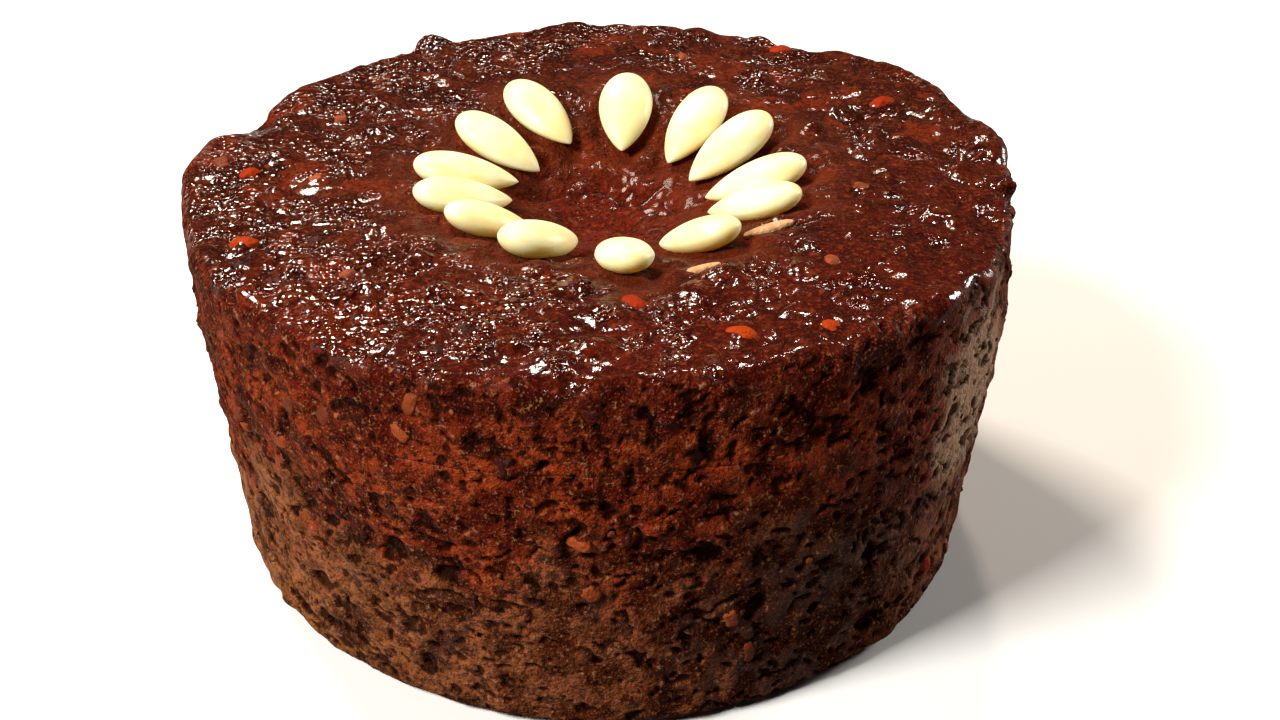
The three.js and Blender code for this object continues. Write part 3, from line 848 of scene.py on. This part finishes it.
def studs(kind, spots, seed, given=()):
    """All the pieces of one kind as one mesh, each turned and sized by its own draws. The last ones take
    their turn, half length, half width and how far out they stand from the rows of given."""
    form = FRUIT_FORMS[kind]
    ball, faces = ball_grid(*form["grid"], form["square"])
    middles, around, down, out = seats(spots)
    numbers = np.arange(len(spots))[:, None] * (1, 0, 0)
    chance = [cell_draw(numbers, seed + k) for k in range(5)]
    half = np.stack([between(form["half"][axis], chance[axis]) for axis in range(3)], -1) / 1000
    proud = between(form["proud"], chance[3]) / 1000
    turn = (chance[4] * pi)[:, None]
    for k, (own_turn, half_long, half_wide, own_proud) in enumerate(given, len(spots) - len(given)):
        turn[k], half[k, :2], proud[k] = own_turn, (half_long, half_wide), own_proud
    long = around * np.cos(turn) + down * np.sin(turn)
    axes = np.stack([long, np.cross(out, long), out], 1)
    folds = cloud(ball * form["folds"] + numbers[:, None] * STUDS_APART, 1.0, seed + 6)
    swell = 1 + form["wrinkle"] * (1 - 2 * np.abs(folds) - 0.5)
    local = ball * half[:, None] * swell[..., None]
    points = (middles + out * (proud - half[:, 2])[:, None])[:, None] + local @ axes
    shifts = np.arange(len(spots))[:, None, None] * len(ball)
    joined = [(part + shifts).reshape(-1, part.shape[1]) for part in faces]
    fields = {"kind": np.repeat(cell_draw(numbers, seed + 8), len(ball))}
    return mesh_piece(kind, points.reshape(-1, 3), joined, None, fields)


def crumb_spots():
    """Spots scattered all over the side."""
    draw = draws(CRUMB_SEED)
    shares = [(next(draw), next(draw)) for _ in range(CRUMB_COUNT)]
    return np.array([(turn * 2 * pi, side_along(between(FRUIT_HEIGHTS, up))) for turn, up in shares])


def fruit_finish(name, dark, light, roughness, gloss):
    finish = Finish(name)
    tone = finish.noise(0.0022, 3) * 0.7 + finish.field("kind") * 0.5
    colour = finish.mix(tone.step(0.35, 0.85), linear(dark), linear(light))
    return finish.finished(finish.shader(
        Base_Color=colour, Roughness=roughness + 0.2 * finish.noise(0.0015), Specular_IOR_Level=gloss,
        Normal=finish.bump(finish.noise(0.0010, 3), 0.0006)))


FRUIT_FINISHES = {
    "raisins": fruit_finish("raisin", "220402", "46140a", 0.35, 0.12),
    "candied_peel": fruit_finish("candied_peel", "64260c", "98441a", 0.4, 0.15),
    "cherries": fruit_finish("cherry", "8a2404", "a03604", 0.4, 0.04),
    "nut_slivers": fruit_finish("nut", "9a6238", "d0a070", 0.5, 0.1),
    "crumbs": fruit_finish("crumb", "3c1208", "7c4020", 0.7, 0.05),
}
SLIVERS = np.array([  # x, y, the way it points in degrees, half length, half width and how far out, in mm
    (34.0, -30.5, 12, 5.4, 1.5, 1.0), (19.6, -46.6, 8, 4.0, 1.3, 0.8),
])
sliver_angles = np.arctan2(SLIVERS[:, 1], SLIVERS[:, 0])
sliver_turns = sliver_angles + pi / 2 - np.radians(SLIVERS[:, 2])
sliver_rows = np.column_stack([sliver_turns, SLIVERS[:, 3:] / 1000])
FRUIT["nut_slivers"] = np.stack([sliver_angles, np.hypot(SLIVERS[:, 0], SLIVERS[:, 1]) / 1000], -1)
FRUIT["crumbs"] = crumb_spots()
for number, (kind, spots) in enumerate(FRUIT.items()):
    given = sliver_rows if kind == "nut_slivers" else ()
    piece = studs(kind, spots, STUD_SEED + STUD_SEEDS_APART * number, given)
    piece.data.materials.append(FRUIT_FINISHES[kind])
    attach(piece, "root")

# ---- The room -----------------------------------------------------------------------------------
# A plain pale floor that the cake stands on, and soft light: two high windows behind it, which glint in
# the glaze's beads, a wide light in front on the left, and a low one on the right.

FLOOR_REACH = 4.0
FLOOR_BOUNCE = "8e8c88"  # what the floor throws back onto the cake, darker than it looks


def floor():
    corner = FLOOR_REACH / 2
    points = corner * np.array([(-1, -1, 0), (1, -1, 0), (1, 1, 0), (-1, 1, 0)])
    piece = mesh_piece("floor", points, [np.array([[0, 1, 2, 3]])])
    finish = Finish("floor")
    white = finish.mix(finish.noise(0.3), linear("fbfaf6"), linear("fefdfb"))
    seen = finish.node("LightPath", output="Is Camera Ray")
    white = finish.mix(seen, linear(FLOOR_BOUNCE), white)
    piece.data.materials.append(finish.finished(finish.shader(Base_Color=white, Roughness=0.7)))
    return piece


def soft_light(name, azimuth, elevation, distance, size, radiance, colour):
    """A square light aimed at the cake. Azimuth is in degrees from +X towards +Y. The power follows from
    how bright its face is: pi times its area times its radiance."""
    lamp = bpy.data.lights.new(name, "AREA")
    lamp.shape, lamp.size = "SQUARE", size
    lamp.energy = pi * size**2 * radiance
    lamp.color = colour
    light = bpy.data.objects.new(name, lamp)
    bearing, rise = radians(azimuth), radians(elevation)
    away = Vector((cos(bearing) * cos(rise), sin(bearing) * cos(rise), sin(rise)))
    light.location = away * distance + Vector((0, 0, HEIGHT / 2))
    light.rotation_euler = away.to_track_quat("Z", "Y").to_euler()
    bpy.context.scene.collection.objects.link(light)


floor()
WARM = (1.0, 0.87, 0.74)
NEUTRAL = (1.0, 0.97, 0.93)
LIGHTS = [  # name, azimuth, elevation, distance, side, radiance and colour
    ("window", 124, 52, 1.6, 0.36, 58, WARM),
    ("second_window", 78, 56, 1.6, 0.10, 150, WARM),
    ("key", 215, 42, 1.6, 0.45, 58, NEUTRAL),
    ("right", 28, 15, 1.8, 0.4, 44, NEUTRAL),
]
for light in LIGHTS:
    soft_light(*light)

ROOM_GLOW = 0.012  # how bright the room is where the cake mirrors it
world = bpy.data.worlds.new("room")
world.use_nodes = True
glow = world.node_tree.nodes["Background"]
seen = world.node_tree.nodes.new("ShaderNodeLightPath")
bright = world.node_tree.nodes.new("ShaderNodeMapRange")
world.node_tree.links.new(seen.outputs["Is Camera Ray"], bright.inputs["Value"])
world.node_tree.links.new(bright.outputs[0], glow.inputs["Strength"])
bright.inputs["To Min"].default_value = ROOM_GLOW
bright.inputs["To Max"].default_value = 1
glow.inputs["Color"].default_value = (1, 1, 1, 1)
bpy.context.scene.world = world

CAMERA_BACK = 0.3595  # in front of the cake's axis
CAMERA_UP = 0.2538  # above the floor
CAMERA_PITCH = 31.05  # degrees below the horizon
IMAGE_WIDTH = 1280
FOCAL_PIXELS = 1800
AXIS_PIXELS_LEFT = 42  # the cake's axis lies this far left of the middle of the frame
SENSOR = 36.0

camera = bpy.data.objects.new("camera", bpy.data.cameras.new("camera"))
camera.data.sensor_width = SENSOR
camera.data.lens = SENSOR * FOCAL_PIXELS / IMAGE_WIDTH
camera.location = (0, -CAMERA_BACK, CAMERA_UP)
camera.rotation_euler = (radians(90 - CAMERA_PITCH), 0, -atan(AXIS_PIXELS_LEFT / FOCAL_PIXELS))
bpy.context.scene.collection.objects.link(camera)
bpy.context.scene.camera = camera
bpy.context.scene.view_settings.view_transform = "Standard"
